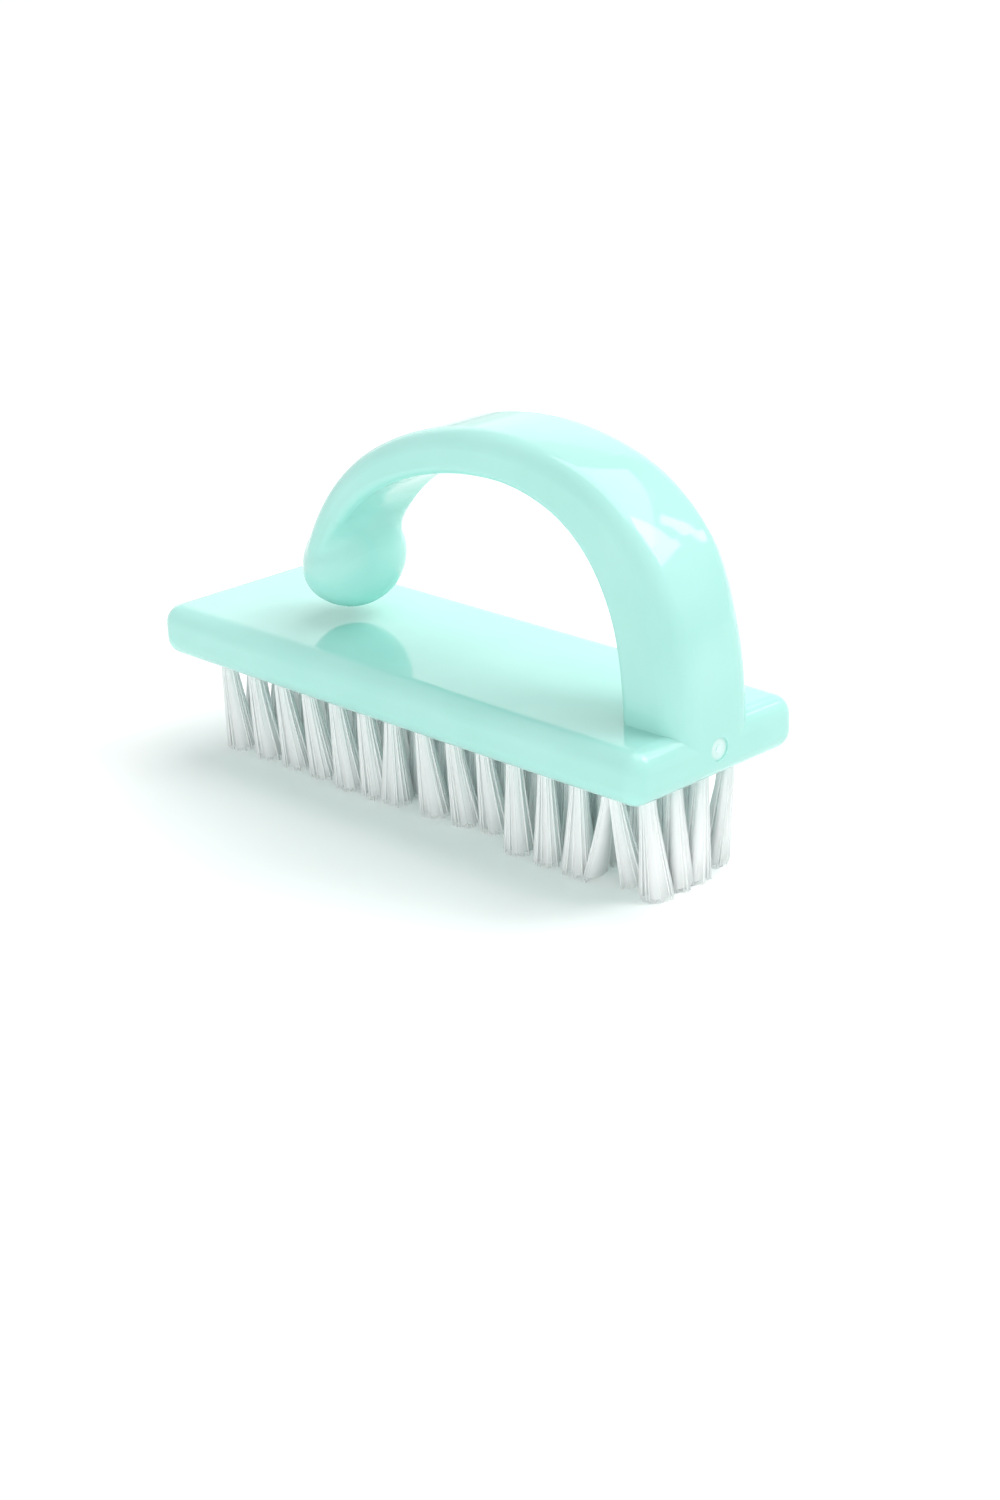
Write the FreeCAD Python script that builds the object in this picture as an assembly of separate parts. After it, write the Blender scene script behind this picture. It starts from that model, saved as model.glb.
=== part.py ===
"""Nail brush: a moulded block with a hooked handle, and tufts folded over wire anchors.

Millimetres. The brush stands on its bristle tips: the origin is on the floor under the middle of the block,
X runs along the block towards the end that the handle grows from, and Z is up.
"""
import FreeCAD, Part

import math
import os

# Block
block_length = 95.0
block_width = 31.0
block_thickness = 7.5
block_edge_radius = 2.7

# Handle: a band that rises flush with one end of the block, arches over and stops in a bulb
handle_rise = 33.9
crown_setback = 33.5
root_thickness = 10.4
crown_thickness = 6.1
neck_thickness = 4.4
root_edge_radius = 3.7
outer_edge_radius = 2.5
inner_edge_radius = 1.3
arch_fullness = 2.35
shoulder_turn = 40.0
arch_foot = 0.5
root_depth = 4.0

# Bulb: a slightly flattened ball, tilted and a little wider than the band, which runs into it off centre
bulb_diameter = 15.5
bulb_flattening = 2.0
bulb_overhang = 0.35
bulb_tilt = 48.0
bulb_reach = 68.4
bulb_gap = 1.5
bulb_offset = 1.7
bulb_rim_radius = 5.0
bulb_blend_radius = 4.0

# Gate mark left by moulding on the block's end
gate_diameter = 3.2
gate_pip_diameter = 1.0
gate_depth = 0.2
gate_drop = 3.2

# Bristle field: a grid of blind holes in the underside, between plain margins at the ends
bristle_length = 15.2
column_count = 15
row_count = 4
end_margin = 5.5
row_pitch = 5.2
hole_diameter = 2.3
hole_floor = 2.2

# Tuft: filaments folded over an anchor, so two halves stand out of each hole and spread towards the tips
tuft_clearance = 0.05
tuft_tip_gap = 1.0
tuft_tip_split = 0.7
tuft_sides = 6
fold_height = 0.9

# Anchor: a short flat wire driven across each hole, tight between its walls
anchor_thickness = 0.3
anchor_height = 1.6

# How near an edge lies to where it is looked for
tolerance = 0.01

# Levels and places that follow from the sizes above
block_bottom = bristle_length
block_top = block_bottom + block_thickness
block_end = block_length / 2
block_side = block_width / 2
hole_end = block_top - hole_floor
anchor_top = hole_end - tuft_clearance - fold_height
arch_base = block_top + arch_foot
crown_x = block_end - crown_setback
outer_rise = handle_rise - arch_foot
inner_rise = outer_rise - crown_thickness
handle_width = bulb_diameter - 2 * bulb_overhang
bulb_thickness = bulb_diameter - bulb_flattening
tilt = math.radians(bulb_tilt)
bulb_half_height = math.hypot(bulb_diameter / 2 * math.cos(tilt), bulb_thickness / 2 * math.sin(tilt))
bulb_centre = FreeCAD.Vector(block_end - bulb_reach, 0, block_top + bulb_gap + bulb_half_height)
column_pitch = (block_length - 2 * end_margin) / (column_count - 1)
tuft_tip_diameter = min(column_pitch, row_pitch) - tuft_tip_gap


def vec(x, y, z):
    return FreeCAD.Vector(x, y, z)


def arc(start, direction, end):
    """Arc from start, leaving in a direction, to end."""
    chord = end - start
    square = vec(-direction.z, 0, direction.x)
    radius = chord.dot(chord) / (2 * chord.dot(square))
    centre = start + square * radius
    to_middle = (start + end) / 2 - centre
    middle = centre + to_middle.normalize() * abs(radius)
    return Part.Arc(start, middle, end).toShape()


def two_arcs(start, direction, end, end_direction):
    """Two arcs that run from start to end without a kink at either end or where they meet."""
    chord = end - start
    both = chord.dot(direction + end_direction)
    turn = 2 * (1 - direction.dot(end_direction))
    reach = (math.sqrt(both ** 2 + turn * chord.dot(chord)) - both) / turn
    first = start + direction * reach
    last = end - end_direction * reach
    middle = (first + last) / 2
    return [arc(start, direction, middle), arc(middle, (last - first).normalize(), end)]


def arch_point(side, turn, reach, rise, fullness):
    """Point of a quarter arch beside the crown, turning from 0 degrees at its foot to 90 at the crown."""
    across = max(math.cos(math.radians(turn)), 0) ** (2 / fullness)
    up = math.sin(math.radians(turn)) ** (2 / fullness)
    return vec(crown_x + side * reach * across, 0, arch_base + rise * up)


def arch_direction(side, turn, reach, rise, fullness):
    """Direction of that arch at the same point, from the foot on its right towards the bulb."""
    power = 2 - 2 / fullness
    across = reach * math.sin(math.radians(turn)) ** power
    up = rise * max(math.cos(math.radians(turn)), 0) ** power
    return vec(-across, 0, side * up).normalize()


def band_line(root_reach, rise, bulb_reach, bulb_turn):
    """One long line of the band's side: up from inside the block, over the crown and down into the bulb."""
    right = [(1, turn, root_reach, rise, arch_fullness) for turn in (0, shoulder_turn, 90)]
    places = right + [(-1, bulb_turn, bulb_reach, rise, 2)]
    nodes = [(arch_point(*place), arch_direction(*place)) for place in places]
    foot = nodes[0][0]
    edges = [Part.makeLine(vec(foot.x, 0, block_top - root_depth), foot)]
    for start, end in zip(nodes, nodes[1:]):
        edges += two_arcs(*start, *end)
    return Part.Wire(edges)


def middle_of(edge):
    return Part.Vertex(edge.valueAt((edge.FirstParameter + edge.LastParameter) / 2))


def edges_beside(solid, line):
    """The two chains of edges of the band that run beside a line of its middle."""
    half = handle_width / 2
    return [e for e in solid.Edges if abs(line.distToShape(middle_of(e))[0] - half) < tolerance]


def band():
    """The band of even width between its outer and inner lines, with its long edges rounded.

    The outer rounding is full at the root and tightens over one arc below the shoulder.
    """
    middle_rise = (inner_rise + outer_rise) / 2
    bulb_turn = math.asin((bulb_centre.z - arch_base) / middle_rise)
    reach = (crown_x - bulb_centre.x + bulb_offset) / math.cos(bulb_turn)
    turn = math.degrees(bulb_turn)
    outer = band_line(crown_setback, outer_rise, reach + neck_thickness / 2, turn)
    inner = band_line(crown_setback - root_thickness, inner_rise, reach - neck_thickness / 2, turn)
    foot = Part.makeLine(inner.Vertexes[0].Point, outer.Vertexes[0].Point)
    tail = Part.makeLine(outer.Vertexes[-1].Point, inner.Vertexes[-1].Point)
    side = Part.Face(Part.Wire(Part.__sortEdges__([foot, *outer.Edges, tail, *inner.Edges])))
    side.translate(vec(0, -handle_width / 2, 0))
    solid = side.extrude(vec(0, handle_width, 0))
    below_shoulder = outer.Edges[2]
    solid = solid.makeFillet(root_edge_radius, outer_edge_radius, edges_beside(solid, below_shoulder))
    return solid.makeFillet(inner_edge_radius, edges_beside(solid, inner))


def bulb():
    """The flattened ball: a rim arc between two flatter caps, turned about its short axis and tilted."""
    wide = bulb_diameter / 2
    high = bulb_thickness / 2
    rim_centre = wide - bulb_rim_radius
    excess = high - bulb_rim_radius
    drop = (rim_centre ** 2 - excess ** 2) / (2 * excess)
    lean = math.atan2(drop, rim_centre)
    across = rim_centre + bulb_rim_radius * math.cos(lean)
    up = bulb_rim_radius * math.sin(lean)
    cap_lean = (math.pi / 2 - lean) / 2
    cap_across = (high + drop) * math.sin(cap_lean)
    cap_up = (high + drop) * math.cos(cap_lean) - drop
    outline = [
        Part.Arc(vec(0, 0, high), vec(cap_across, 0, cap_up), vec(across, 0, up)).toShape(),
        Part.Arc(vec(across, 0, up), vec(wide, 0, 0), vec(across, 0, -up)).toShape(),
        Part.Arc(vec(across, 0, -up), vec(cap_across, 0, -cap_up), vec(0, 0, -high)).toShape(),
        Part.makeLine(vec(0, 0, -high), vec(0, 0, high)),
    ]
    ball = Part.Face(Part.Wire(outline)).revolve(vec(0, 0, 0), vec(0, 0, 1), 360)
    ball.rotate(vec(0, 0, 0), vec(0, 1, 0), 90 + bulb_tilt)
    ball.translate(bulb_centre)
    return ball


def handle():
    """The band with its bulb, blended where they meet."""
    strip = band()
    ball = bulb()
    seam = strip.section(ball)
    arm = strip.fuse(ball)
    edges = [e for e in arm.Edges if seam.distToShape(middle_of(e))[0] < tolerance]
    return arm.makeFillet(bulb_blend_radius, edges)


def block():
    """The block with all its edges rounded alike."""
    corner = vec(-block_end, -block_side, block_bottom)
    solid = Part.makeBox(block_length, block_width, block_thickness, corner)
    return solid.makeFillet(block_edge_radius, solid.Edges)


def gate_mark():
    """Shallow ring round a pip, sunk into the end of the block."""
    start = vec(block_end - gate_depth, 0, block_top - gate_drop)
    ring = Part.makeCylinder(gate_diameter / 2, 2 * gate_depth, start, vec(1, 0, 0))
    return ring.cut(Part.makeCylinder(gate_pip_diameter / 2, 2 * gate_depth, start, vec(1, 0, 0)))


def ring(x, y, z, across):
    """Closed ring of corners for a tuft or its hole, with flats at that distance across facing along Y."""
    radius = across / 2 / math.cos(math.pi / tuft_sides)
    turns = [2 * math.pi * k / tuft_sides for k in range(tuft_sides + 1)]
    return [vec(x + radius * math.cos(t), y + radius * math.sin(t), z) for t in turns]


def hole(x, y):
    mouth = Part.Face(Part.makePolygon(ring(x, y, block_bottom, hole_diameter)))
    return mouth.extrude(vec(0, 0, hole_end - block_bottom))


def anchor(x, y):
    corner = vec(x - anchor_thickness / 2, y - hole_diameter / 2, anchor_top - anchor_height)
    return Part.makeBox(anchor_thickness, hole_diameter, anchor_height, corner)


def flat_sided(rings):
    """Solid between rings of points, with a flat face for each side."""
    outlines = [rings[0], rings[-1]]
    for low, high in zip(rings, rings[1:]):
        for k in range(tuft_sides):
            outlines.append([low[k], low[k + 1], high[k + 1], high[k], low[k]])
    faces = [Part.Face(Part.makePolygon(outline)) for outline in outlines]
    return Part.Solid(Part.Shell(faces))


def tuft(x, y):
    """One folded tuft: straight in its hole, spreading below it to a trimmed tip, split down to the anchor."""
    root = hole_diameter - 2 * tuft_clearance
    bundle = flat_sided([
        ring(x, y, 0, tuft_tip_diameter),
        ring(x, y, block_bottom, root),
        ring(x, y, hole_end - tuft_clearance, root),
    ])
    wide = tuft_tip_split / 2
    narrow = anchor_thickness / 2
    reach = tuft_tip_diameter
    outline = [
        vec(x - narrow, y - reach, anchor_top),
        vec(x + narrow, y - reach, anchor_top),
        vec(x + wide, y - reach, 0),
        vec(x - wide, y - reach, 0),
        vec(x - narrow, y - reach, anchor_top),
    ]
    split = Part.Face(Part.makePolygon(outline)).extrude(vec(0, 2 * reach, 0))
    return bundle.cut(split)


def grid(count, pitch):
    """Places of a row of tufts at an even pitch, the same to either side of the middle."""
    return [pitch * (k - (count - 1) / 2) for k in range(count)]


columns = grid(column_count, column_pitch)
rows = grid(row_count, row_pitch)
places = [(x, y) for x in columns for y in rows]

os.makedirs("parts", exist_ok=True)

holes = [hole(x, y) for x, y in places]
body = block().fuse(handle()).removeSplitter()
body = body.cut(Part.makeCompound(holes + [gate_mark()]))
body.exportStep("parts/brush_body.step")

Part.makeCompound([anchor(x, y) for x, y in places]).exportStep("parts/tuft_anchors.step")

for number, x in enumerate(columns, start=1):
    tuft(x, rows[0]).exportStep(f"parts/front_tuft_{number:02d}.step")
    tuft(x, rows[-1]).exportStep(f"parts/back_tuft_{number:02d}.step")
    inner = Part.makeCompound([tuft(x, y) for y in rows[1:-1]])
    inner.exportStep(f"parts/inner_tufts_{number:02d}.step")
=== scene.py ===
"""Looks of the nail brush: glossy moulded block and handle, and tufts of nylon filaments.

The brush stands on its bristle tips on the floor at Z = 0. X runs along the block towards the end that
the handle grows from, and Y points away from the long side that the camera sees. Sizes of the brush and
places of the camera are in mm, those of the lamps and the floor are in metres, and angles are in degrees.
"""

import math

import bpy
import numpy as np
from mathutils import Matrix, Vector


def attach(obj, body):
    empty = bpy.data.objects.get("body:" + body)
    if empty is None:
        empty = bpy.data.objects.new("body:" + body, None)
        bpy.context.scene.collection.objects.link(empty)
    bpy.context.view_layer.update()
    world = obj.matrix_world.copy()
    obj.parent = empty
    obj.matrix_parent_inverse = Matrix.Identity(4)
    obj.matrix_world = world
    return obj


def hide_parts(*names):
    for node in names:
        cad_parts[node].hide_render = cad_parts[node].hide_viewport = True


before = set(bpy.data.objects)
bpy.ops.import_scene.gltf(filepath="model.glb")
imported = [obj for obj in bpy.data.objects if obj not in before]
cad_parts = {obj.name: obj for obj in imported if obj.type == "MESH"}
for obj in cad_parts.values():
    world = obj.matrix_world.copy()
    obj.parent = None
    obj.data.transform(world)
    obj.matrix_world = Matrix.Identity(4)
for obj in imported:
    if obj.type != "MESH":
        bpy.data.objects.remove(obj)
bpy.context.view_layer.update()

MM = 0.001
SEED = 7

# Holes: a grid in the underside, with their mouths at one height
COLUMNS = 15
ROWS = 4
COLUMN_PITCH = 6.0
ROW_PITCH = 5.2
MOUTH_HEIGHT = 15.2

# Tufts: how far they reach into the hole, and how wide they are there and at the tip.
# The spread is a share of the tip's radius, and the lean is how far a tip strays where no lean is listed
ROOT_DEPTH = 1.2
ROOT_RADIUS = 0.9
TIP_RADIUS = 2.2
TIP_SPLIT = 0.12
TIP_SPREAD = (0.88, 1.0)
LEAN_SCATTER = 0.35
FAN_POWER = 1.25

# Loose filaments round each tuft: they stand between a share of its radius and its rim
FILAMENTS = 22
FILAMENT_RADIUS = 0.12
FILAMENT_SIDES = 5
FILAMENT_RINGS = 6
LOOSE_FROM = 0.9
TIP_SCATTER = 0.14
TRIM_SCATTER = 0.175

# Packed bundles inside each tuft, one for each half: they fill a share of its radius and end above its tips
BUNDLE_FILL = 0.95
BUNDLE_END = 0.6
BUNDLE_RIBS = 20
BUNDLE_RINGS = 4
BUNDLE_APART = 0.42
BUNDLE_WIDTH_SHARE = 0.52
RIB_SHARE = 0.05

# How far tufts lean at the tip, in mm along X and Y, by column and row from the far end of the near side.
# Two values are for the two halves of a folded tuft that stand apart
LEANS = {
    (0, 0): [(2.0, 0.4)],
    (1, 0): [(2.2, 0.5)],
    (2, 0): [(2.4, 0.6)],
    (3, 0): [(2.4, 0.6)],
    (4, 0): [(2.4, 0.3)],
    (5, 0): [(1.4, 0.5)],
    (6, 0): [(-0.6, 0.8)],
    (7, 0): [(1.0, 1.2)],
    (8, 0): [(0.6, 1.8)],
    (9, 0): [(-0.7, 2.6)],
    (10, 0): [(1.0, -0.6)],
    (11, 0): [(0.6, -0.6)],
    (12, 0): [(-0.1, -0.4)],
    (13, 0): [(-2.4, -0.2), (1.4, 1.6)],
    (14, 0): [(0.8, 0.7)],
    (14, 1): [(0.6, -0.5)],
    (14, 2): [(0.7, -2.6)],
    (14, 3): [(-1.0, -2.1)],
}

# Handle: where its leg starts above the floor and along the block, and the slight crown across it
LEG_FOOT = 23.2
LEG_START = 10.0
LEG_FADE = 12.0
CROWN_RADIUS = 45.0

# Gate mark on the block's end: its middle, its radius and the share of it that is fully pale
GATE_PLACE = (47.5, 0.0, 19.5)
GATE_RADIUS = 1.6
GATE_CORE = 0.7

# Plastic: the lengths over which its tint, gloss and waves drift, the waves' height, and how far red, green
# and blue light scatter in it
TINT_LENGTH = 16.67
GLOSS_LENGTH = 7.14
WAVE_LENGTH = 6.25
WAVE_HEIGHT = 0.02
SCATTER_REACH = (1.2, 1.8, 1.6)

# Brass: the length of its grain
GRAIN_LENGTH = 0.4

# Window behind the brush on the right: each pane has an azimuth, an elevation, a width and a height
WINDOW_PANES = ((43.0, 47.0, 0.46, 0.54), (66.0, 35.0, 0.10, 0.36))
WINDOW_DISTANCE = 1.2
WINDOW_RADIANCE = 3.9

# Bright panels: name, place, width and height, and radiance
PANELS = (
    ("ceiling", (0.12, 0.5, 1.45), (1.4, 1.4), 1.75),
    ("backdrop", (-1.1, 1.05, 0.62), (1.8, 0.8), 0.35),
)

# Broad low fills: name, the direction they come from, and strength
FILLS = (
    ("front_fill", (0.3, -0.9, 0.1), 1.35),
    ("back_fill", (-0.3, 0.9, 0.06), 0.75),
)
FILL_ANGLE = 30.0

# Room and floor: the room's light on matt surfaces, its white where it is seen, and the floor's lift to it
ROOM_LIGHT = 0.42
ROOM_WHITE = 1.0
FLOOR_LIFT = 0.12
FLOOR_REACH = 4.0

# White bristles hand light on many times, and with few bounces the gaps between them go dark
LIGHT_BOUNCES = 32
DIFFUSE_BOUNCES = 24

# Camera: where it looks from, how it is turned and where the block's middle falls in the picture
CAMERA_AZIMUTH = 46.149
CAMERA_ELEVATION = 21.454
CAMERA_ROLL = -2.217
CAMERA_DISTANCE = 376.99
CAMERA_TARGET = (0.0, 0.0, 19.1)
CAMERA_CLIP = (10.0, 50000.0)
FOCAL_PIXELS = 2719.37
TARGET_PIXEL = (460.448, 670.909)
IMAGE_SIZE = (1000, 1500)
SENSOR = 36.0


def linear(text):
    """Linear colour of an sRGB hex value."""
    shares = [int(text[k:k + 2], 16) / 255 for k in (1, 3, 5)]
    return [c / 12.92 if c <= 0.04045 else ((c + 0.055) / 1.055) ** 2.4 for c in shares] + [1.0]


def add(tree, kind, settings=(), links=()):
    """Adds a node: settings are (attribute or input, value) pairs, links are (input, output) pairs."""
    node = tree.nodes.new(kind)
    for name, value in settings:
        if isinstance(name, str) and hasattr(node, name):
            setattr(node, name, value)
        else:
            node.inputs[name].default_value = value
    for name, socket in links:
        tree.links.new(socket, node.inputs[name])
    return node


def new_material(name):
    """Empty node material and its tree."""
    material = bpy.data.materials.new(name)
    material.use_nodes = True
    material.node_tree.nodes.clear()
    return material, material.node_tree


def moulded_polypropylene():
    """Injection-moulded polypropylene, mint: a polished mould leaves it glossy, wavy and a bit milky.

    Tint and gloss drift slowly. The handle's leg is crowned: the height falls with the square of the
    distance from its middle, and the crown fades in above the leg's foot and past its start along the
    block. The plastic is paler in a small disc round the gate mark.
    """
    material, tree = new_material("moulded_polypropylene_mint")
    place = add(tree, "ShaderNodeTexCoord").outputs["Object"]
    axes = add(tree, "ShaderNodeSeparateXYZ", links=[("Vector", place)])
    clouds = add(tree, "ShaderNodeTexNoise", [("Scale", 1 / (TINT_LENGTH * MM)), ("Detail", 2.0)],
                 [("Vector", place)])
    tint = add(tree, "ShaderNodeValToRGB", links=[("Fac", clouds.outputs["Fac"])])
    tint.color_ramp.elements[0].position = 0.35
    tint.color_ramp.elements[0].color = linear("#AFE8DF")
    tint.color_ramp.elements[1].position = 0.65
    tint.color_ramp.elements[1].color = linear("#B5EBE3")
    from_gate = add(tree, "ShaderNodeVectorMath",
                    [("operation", "DISTANCE"), (1, Vector(GATE_PLACE) * MM)], [(0, place)])
    disc = add(tree, "ShaderNodeMapRange",
               [("From Min", GATE_RADIUS * MM), ("From Max", GATE_CORE * GATE_RADIUS * MM)],
               [("Value", from_gate.outputs["Value"])])
    colour = add(tree, "ShaderNodeMixRGB", [("Color2", linear("#DDF6F2"))],
                 [("Fac", disc.outputs["Result"]), ("Color1", tint.outputs["Color"])])
    smears = add(tree, "ShaderNodeTexNoise", [("Scale", 1 / (GLOSS_LENGTH * MM)), ("Detail", 3.0)],
                 [("Vector", place)])
    gloss = add(tree, "ShaderNodeMapRange",
                [("From Min", 0.3), ("From Max", 0.7), ("To Min", 0.06), ("To Max", 0.10)],
                [("Value", smears.outputs["Fac"])])
    above_foot = add(tree, "ShaderNodeMapRange",
                     [("From Min", LEG_FOOT * MM), ("From Max", (LEG_FOOT + LEG_FADE) * MM)],
                     [("Value", axes.outputs["Z"])])
    past_start = add(tree, "ShaderNodeMapRange",
                     [("From Min", LEG_START * MM), ("From Max", (LEG_START + LEG_FADE) * MM),
                      ("To Max", -0.5 / (CROWN_RADIUS * MM))],
                     [("Value", axes.outputs["X"])])
    leg = add(tree, "ShaderNodeMath", [("operation", "MULTIPLY")],
              [(0, above_foot.outputs["Result"]), (1, past_start.outputs["Result"])])
    square = add(tree, "ShaderNodeMath", [("operation", "MULTIPLY")],
                 [(0, axes.outputs["Y"]), (1, axes.outputs["Y"])])
    crown = add(tree, "ShaderNodeMath", [("operation", "MULTIPLY")],
                [(0, leg.outputs[0]), (1, square.outputs[0])])
    waves = add(tree, "ShaderNodeTexNoise", [("Scale", 1 / (WAVE_LENGTH * MM)), ("Detail", 1.0)],
                [("Vector", place)])
    height = add(tree, "ShaderNodeMath", [("operation", "MULTIPLY_ADD"), (1, WAVE_HEIGHT * MM)],
                 [(0, waves.outputs["Fac"]), (2, crown.outputs[0])])
    relief = add(tree, "ShaderNodeBump", [("Strength", 1.0), ("Distance", 1.0)],
                 [("Height", height.outputs[0])])
    shader = add(tree, "ShaderNodeBsdfPrincipled",
                 [("IOR", 1.49), ("Subsurface Weight", 0.15),
                  ("Subsurface Radius", Vector(SCATTER_REACH) * MM), ("Subsurface Scale", 1.0)],
                 [("Base Color", colour.outputs["Color"]), ("Roughness", gloss.outputs["Result"]),
                  ("Normal", relief.outputs["Normal"])])
    add(tree, "ShaderNodeOutputMaterial", links=[("Surface", shader.outputs["BSDF"])])
    return material


def nylon_filament():
    """Drawn nylon monofilament, white: smooth and softly shiny, with strands of differing whiteness."""
    material, tree = new_material("drawn_nylon_white")
    shade = add(tree, "ShaderNodeAttribute", [("attribute_name", "shade")])
    tint = add(tree, "ShaderNodeValToRGB", links=[("Fac", shade.outputs["Fac"])])
    tint.color_ramp.elements[0].color = linear("#FBFDFD")
    tint.color_ramp.elements[1].color = linear("#FFFFFF")
    shader = add(tree, "ShaderNodeBsdfPrincipled", [("Roughness", 0.35), ("IOR", 1.53)],
                 [("Base Color", tint.outputs["Color"])])
    add(tree, "ShaderNodeOutputMaterial", links=[("Surface", shader.outputs["BSDF"])])
    return material


def rolled_brass():
    """Rolled brass wire: yellow metal with a faint drawn grain."""
    material, tree = new_material("rolled_brass")
    place = add(tree, "ShaderNodeTexCoord").outputs["Object"]
    grain = add(tree, "ShaderNodeTexNoise", [("Scale", 1 / (GRAIN_LENGTH * MM))], [("Vector", place)])
    tint = add(tree, "ShaderNodeValToRGB", links=[("Fac", grain.outputs["Fac"])])
    tint.color_ramp.elements[0].color = linear("#B8944A")
    tint.color_ramp.elements[1].color = linear("#D9B869")
    shader = add(tree, "ShaderNodeBsdfPrincipled", [("Metallic", 1.0), ("Roughness", 0.3)],
                 [("Base Color", tint.outputs["Color"])])
    add(tree, "ShaderNodeOutputMaterial", links=[("Surface", shader.outputs["BSDF"])])
    return material


def paper_floor():
    """White paper sweep: matt, and lifted to the room's white where the camera or a reflection sees it."""
    material, tree = new_material("paper_white")
    path = add(tree, "ShaderNodeLightPath")
    seen = add(tree, "ShaderNodeMath", [("operation", "MAXIMUM")],
               [(0, path.outputs["Is Camera Ray"]), (1, path.outputs["Is Glossy Ray"])])
    lift = add(tree, "ShaderNodeMath", [("operation", "MULTIPLY"), (1, FLOOR_LIFT)], [(0, seen.outputs[0])])
    shader = add(tree, "ShaderNodeBsdfPrincipled",
                 [("Base Color", linear("#FAFCFB")), ("Roughness", 0.9), ("Specular IOR Level", 0.1),
                  ("Emission Color", linear("#FFFFFF"))],
                 [("Emission Strength", lift.outputs[0])])
    add(tree, "ShaderNodeOutputMaterial", links=[("Surface", shader.outputs["BSDF"])])
    return material


def fan_share(t):
    """Share of the sideways move at t from 0 at the root to 1 at the tip.

    It is zero inside the hole and then grows as a power of the share of the free length, so filaments leave
    the hole nearly upright and fan out in gentle curves.
    """
    inside = ROOT_DEPTH / (ROOT_DEPTH + MOUTH_HEIGHT)
    return np.clip((t - inside) / (1 - inside), 0, 1) ** FAN_POWER


def centre_lines(roots, tips, t):
    """Points at each t from roots to tips: they fall evenly and move sideways by the fan's share."""
    share = np.stack([fan_share(t), fan_share(t), t], axis=1)
    return roots[:, None, :] + (tips - roots)[:, None, :] * share


def tubes(centre, rim):
    """Points and faces of closed tubes: a ring of rim points round each centre, carried along each line.

    Parameters: the place along the line and the place round it. centre is tubes by rings by 3, and rim is
    tubes by rings by sides by 3. The first and last rings are closed by flat caps.
    """
    count, rings, sides = rim.shape[:3]
    points = (centre[:, :, None, :] + rim).reshape(-1, 3)
    ring = np.arange(sides)
    first = (np.arange(count)[:, None] * rings + np.arange(rings - 1)) * sides
    low = first[:, :, None] + ring
    low_next = first[:, :, None] + np.roll(ring, -1)
    walls = np.stack([low_next, low, low + sides, low_next + sides], axis=-1).reshape(-1, 4)
    start = np.arange(count)[:, None] * rings * sides
    caps = np.concatenate([start + ring, start + (rings - 1) * sides + ring[::-1]])
    return points, walls, caps


def loose_filaments(roots, tips):
    """Thin round tubes from roots to tips: a circle carried along each centre line."""
    t = np.linspace(0, 1, FILAMENT_RINGS)
    angle = 2 * np.pi * np.arange(FILAMENT_SIDES) / FILAMENT_SIDES
    circle = FILAMENT_RADIUS * np.stack([np.cos(angle), np.sin(angle), np.zeros(FILAMENT_SIDES)], axis=1)
    rim = np.broadcast_to(circle, (len(roots), FILAMENT_RINGS, FILAMENT_SIDES, 3))
    return tubes(centre_lines(roots, tips, t), rim)


def bundles(roots, tips, spread):
    """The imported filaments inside: for each half of a tuft an oval bundle that widens from root to tip.

    The oval's radius swells and shrinks with the cosine of a whole number of turns round it, which makes
    ribs as wide as a filament or two. It is about half as wide along X as along Y, since two halves share
    the hole.
    """
    t = np.linspace(0, 1 - BUNDLE_END / (ROOT_DEPTH + MOUTH_HEIGHT), BUNDLE_RINGS)
    radius = BUNDLE_FILL * (ROOT_RADIUS + (spread[:, None] - ROOT_RADIUS) * fan_share(t))
    angle = np.pi * np.arange(2 * BUNDLE_RIBS) / BUNDLE_RIBS
    ribs = 1 + RIB_SHARE * np.cos(BUNDLE_RIBS * angle)
    wide = BUNDLE_WIDTH_SHARE * ribs * np.cos(angle)
    oval = np.stack([wide, ribs * np.sin(angle), np.zeros(len(angle))], axis=1)
    return tubes(centre_lines(roots, tips, t), radius[:, :, None, None] * oval)


def bristles(name, halves, spread, roots, tips, random, material):
    """One piece: the bundles of some tufts and the loose filaments round them, each with its own shade."""
    packed = bundles(*halves, spread)
    loose = loose_filaments(roots, tips)
    points = np.concatenate([packed[0], loose[0]]) * MM
    shift = len(packed[0])
    walls = np.concatenate([packed[1], loose[1] + shift])
    caps = packed[2].tolist() + (loose[2] + shift).tolist()
    rib_shades = np.tile(random.uniform(0, 1, (len(spread), 1, 2 * BUNDLE_RIBS)), (1, BUNDLE_RINGS, 1))
    loose_shades = np.repeat(random.uniform(0, 1, len(roots)), FILAMENT_RINGS * FILAMENT_SIDES)
    shades = np.concatenate([rib_shades.ravel(), loose_shades])
    mesh = bpy.data.meshes.new(name)
    mesh.from_pydata(points, [], walls.tolist() + caps)
    mesh.polygons.foreach_set("use_smooth", np.arange(len(mesh.polygons)) < len(walls))
    shade = mesh.attributes.new("shade", "FLOAT", "POINT")
    shade.data.foreach_set("value", shades.astype(np.float32))
    mesh.materials.append(material)
    mesh.update()
    piece = bpy.data.objects.new(name, mesh)
    bpy.context.scene.collection.objects.link(piece)
    return piece


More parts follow.
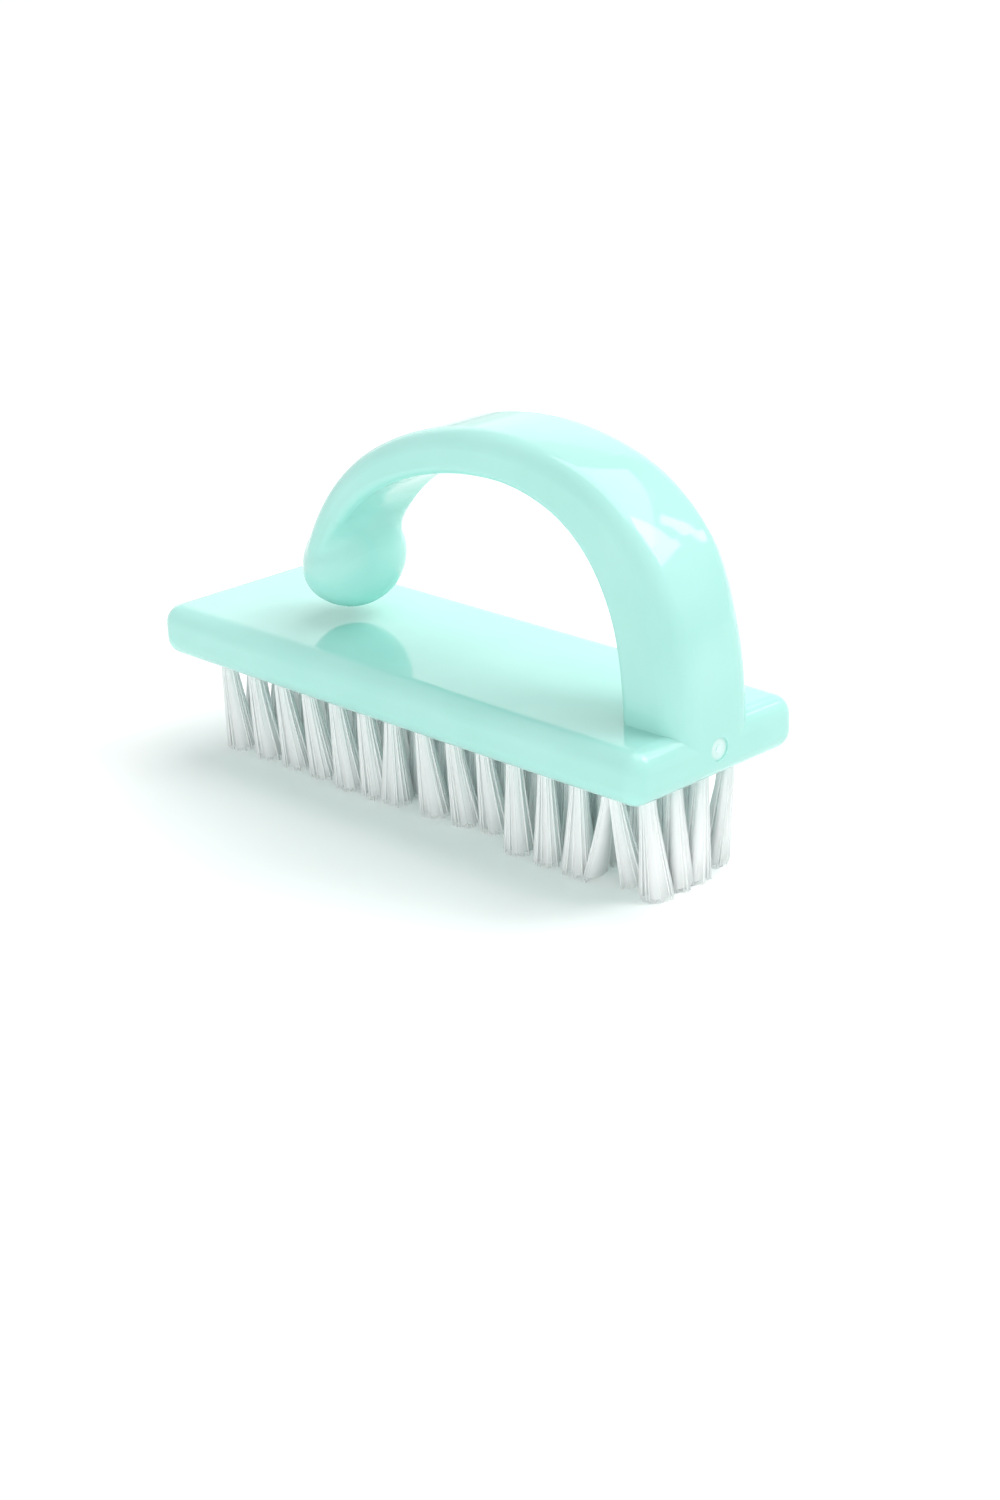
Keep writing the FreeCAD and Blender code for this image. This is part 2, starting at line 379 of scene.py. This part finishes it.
def tuft_lines(column, row, random):
    """Lines of one tuft in mm: roots, tips and spread of its two halves, and roots and tips of filaments.

    Loose filaments stand in the outer part of a disc by the sunflower rule: each is turned by the golden
    angle from the one before, and the square of the radius grows evenly. Tips are the same pattern spread
    over the wider, leaning tip, pulled apart along X by the split of the folded tuft, with a little scatter
    and an uneven trim. One filament of each tuft reaches the floor.
    """
    middle = np.array([(column - (COLUMNS - 1) / 2) * COLUMN_PITCH, (row - (ROWS - 1) / 2) * ROW_PITCH])
    leans = LEANS.get((column, row)) or [random.normal(0, LEAN_SCATTER, 2)]
    leans = np.array([leans[0], leans[-1]])
    spread = TIP_RADIUS * random.uniform(*TIP_SPREAD)
    top = MOUTH_HEIGHT + ROOT_DEPTH
    out = np.array([[-1.0, 0.0], [1.0, 0.0]])
    half_roots = np.column_stack([middle + BUNDLE_APART * ROOT_RADIUS * out, [top, top]])
    half_tips = np.column_stack([middle + leans + (BUNDLE_APART * spread + TIP_SPLIT) * out, [0, 0]])
    number = np.arange(FILAMENTS) + 0.5
    turn = number * math.pi * (3 - math.sqrt(5)) + random.uniform(0, 2 * math.pi)
    radius = np.sqrt(LOOSE_FROM ** 2 + (1 - LOOSE_FROM ** 2) * number / FILAMENTS)
    disc = np.stack([radius * np.cos(turn), radius * np.sin(turn)], axis=1)
    right = (disc[:, 0] > 0).astype(int)
    scatter = random.normal(0, TIP_SCATTER, disc.shape)
    tip = middle + disc * spread + leans[right] + TIP_SPLIT * out[right] + scatter
    trim = np.abs(random.normal(0, TRIM_SCATTER, FILAMENTS))
    trim[np.argmin(trim)] = 0
    roots = np.column_stack([middle + disc * ROOT_RADIUS, np.full(FILAMENTS, top)])
    return half_roots, half_tips, [spread, spread], roots, np.column_stack([tip, trim])


def dress_tufts():
    """Replaces each tuft node by its bristles."""
    nylon = nylon_filament()
    random = np.random.default_rng(SEED)
    kinds = (("front_tuft", [0]), ("back_tuft", [ROWS - 1]), ("inner_tufts", range(1, ROWS - 1)))
    for column in range(COLUMNS):
        for kind, rows in kinds:
            node = f"{kind}_{column + 1:02d}"
            lines = [tuft_lines(column, row, random) for row in rows]
            half_roots, half_tips, spread, roots, tips = [np.concatenate(parts) for parts in zip(*lines)]
            halves = (half_roots, half_tips)
            piece = bristles(f"{node}_bristles", halves, spread, roots, tips, random, nylon)
            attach(piece, "root")
            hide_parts(node)


def make_camera():
    """Camera on a sphere round the block's middle, rolled, and moved to put the middle on its pixel."""
    azimuth = math.radians(CAMERA_AZIMUTH)
    elevation = math.radians(CAMERA_ELEVATION)
    roll = math.radians(CAMERA_ROLL)
    back = Vector((math.sin(azimuth) * math.cos(elevation),
                   -math.cos(azimuth) * math.cos(elevation),
                   math.sin(elevation)))
    level = Vector((0, 0, 1)).cross(back).normalized()
    upright = back.cross(level)
    right = level * math.cos(roll) + upright * math.sin(roll)
    up = upright * math.cos(roll) - level * math.sin(roll)
    across = (TARGET_PIXEL[0] - IMAGE_SIZE[0] / 2) / FOCAL_PIXELS * CAMERA_DISTANCE
    above = (IMAGE_SIZE[1] / 2 - TARGET_PIXEL[1]) / FOCAL_PIXELS * CAMERA_DISTANCE
    place = Vector(CAMERA_TARGET) + back * CAMERA_DISTANCE - right * across - up * above
    data = bpy.data.cameras.new("camera")
    data.sensor_width = SENSOR
    data.lens = FOCAL_PIXELS * SENSOR / IMAGE_SIZE[1]
    data.clip_start = CAMERA_CLIP[0] * MM
    data.clip_end = CAMERA_CLIP[1] * MM
    camera = bpy.data.objects.new("camera", data)
    turn = Matrix((right, up, back)).transposed().to_4x4()
    camera.matrix_world = Matrix.Translation(place * MM) @ turn
    bpy.context.scene.collection.objects.link(camera)
    bpy.context.scene.camera = camera


def make_lamp(name, kind, place, settings):
    """Lamp at a place, facing the brush."""
    data = bpy.data.lights.new(name, kind)
    for key, value in settings.items():
        setattr(data, key, value)
    lamp = bpy.data.objects.new(name, data)
    lamp.location = place
    lamp.rotation_mode = "QUATERNION"
    lamp.rotation_quaternion = (-Vector(place)).to_track_quat("-Z", "Y")
    bpy.context.scene.collection.objects.link(lamp)
    return lamp


def make_panel(name, place, width, height, radiance):
    """Bright rectangle that the camera does not see: its power is four times its area times radiance."""
    panel = make_lamp(name, "AREA", place, {"shape": "RECTANGLE", "size": width, "size_y": height,
                                            "energy": 4 * width * height * radiance})
    panel.visible_camera = False


def make_room():
    """Even white room light: dimmer on matt surfaces, full white where it is seen or mirrored."""
    world = bpy.data.worlds.new("studio")
    world.use_nodes = True
    bpy.context.scene.world = world
    tree = world.node_tree
    tree.nodes.clear()
    path = add(tree, "ShaderNodeLightPath")
    seen = add(tree, "ShaderNodeMath", [("operation", "MAXIMUM")],
               [(0, path.outputs["Is Camera Ray"]), (1, path.outputs["Is Glossy Ray"])])
    through = add(tree, "ShaderNodeMath", [("operation", "MAXIMUM")],
                  [(0, seen.outputs[0]), (1, path.outputs["Is Transmission Ray"])])
    level = add(tree, "ShaderNodeMapRange", [("To Min", ROOM_LIGHT), ("To Max", ROOM_WHITE)],
                [("Value", through.outputs[0])])
    room = add(tree, "ShaderNodeBackground", [("Color", linear("#FCFFFF"))],
               [("Strength", level.outputs["Result"])])
    add(tree, "ShaderNodeOutputWorld", links=[("Surface", room.outputs["Background"])])


def make_lamps():
    """A window behind on the right, a ceiling and backdrop for the sheen, and fills from front and back."""
    for number, (azimuth, elevation, width, height) in enumerate(WINDOW_PANES, start=1):
        turn = math.radians(azimuth)
        rise = math.radians(elevation)
        way = Vector((math.cos(rise) * math.cos(turn), math.cos(rise) * math.sin(turn), math.sin(rise)))
        make_panel(f"window_pane_{number}", way * WINDOW_DISTANCE, width, height, WINDOW_RADIANCE)
    for name, place, (width, height), radiance in PANELS:
        make_panel(name, place, width, height, radiance)
    for name, place, strength in FILLS:
        fill = make_lamp(name, "SUN", place, {"energy": strength, "angle": math.radians(FILL_ANGLE)})
        fill.visible_glossy = False


def make_floor():
    """Flat sheet of paper under the brush."""
    reach = FLOOR_REACH
    corners = [(-reach, -reach, 0), (reach, -reach, 0), (reach, reach, 0), (-reach, reach, 0)]
    mesh = bpy.data.meshes.new("floor")
    mesh.from_pydata(corners, [], [(0, 1, 2, 3)])
    mesh.materials.append(paper_floor())
    floor = bpy.data.objects.new("floor", mesh)
    bpy.context.scene.collection.objects.link(floor)


make_camera()
make_room()
make_lamps()
make_floor()
dress_tufts()
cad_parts["brush_body"].material_slots[0].material = moulded_polypropylene()
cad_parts["tuft_anchors"].material_slots[0].material = rolled_brass()
bpy.context.scene.view_settings.view_transform = "Standard"
bpy.context.scene.cycles.max_bounces = LIGHT_BOUNCES
bpy.context.scene.cycles.diffuse_bounces = DIFFUSE_BOUNCES
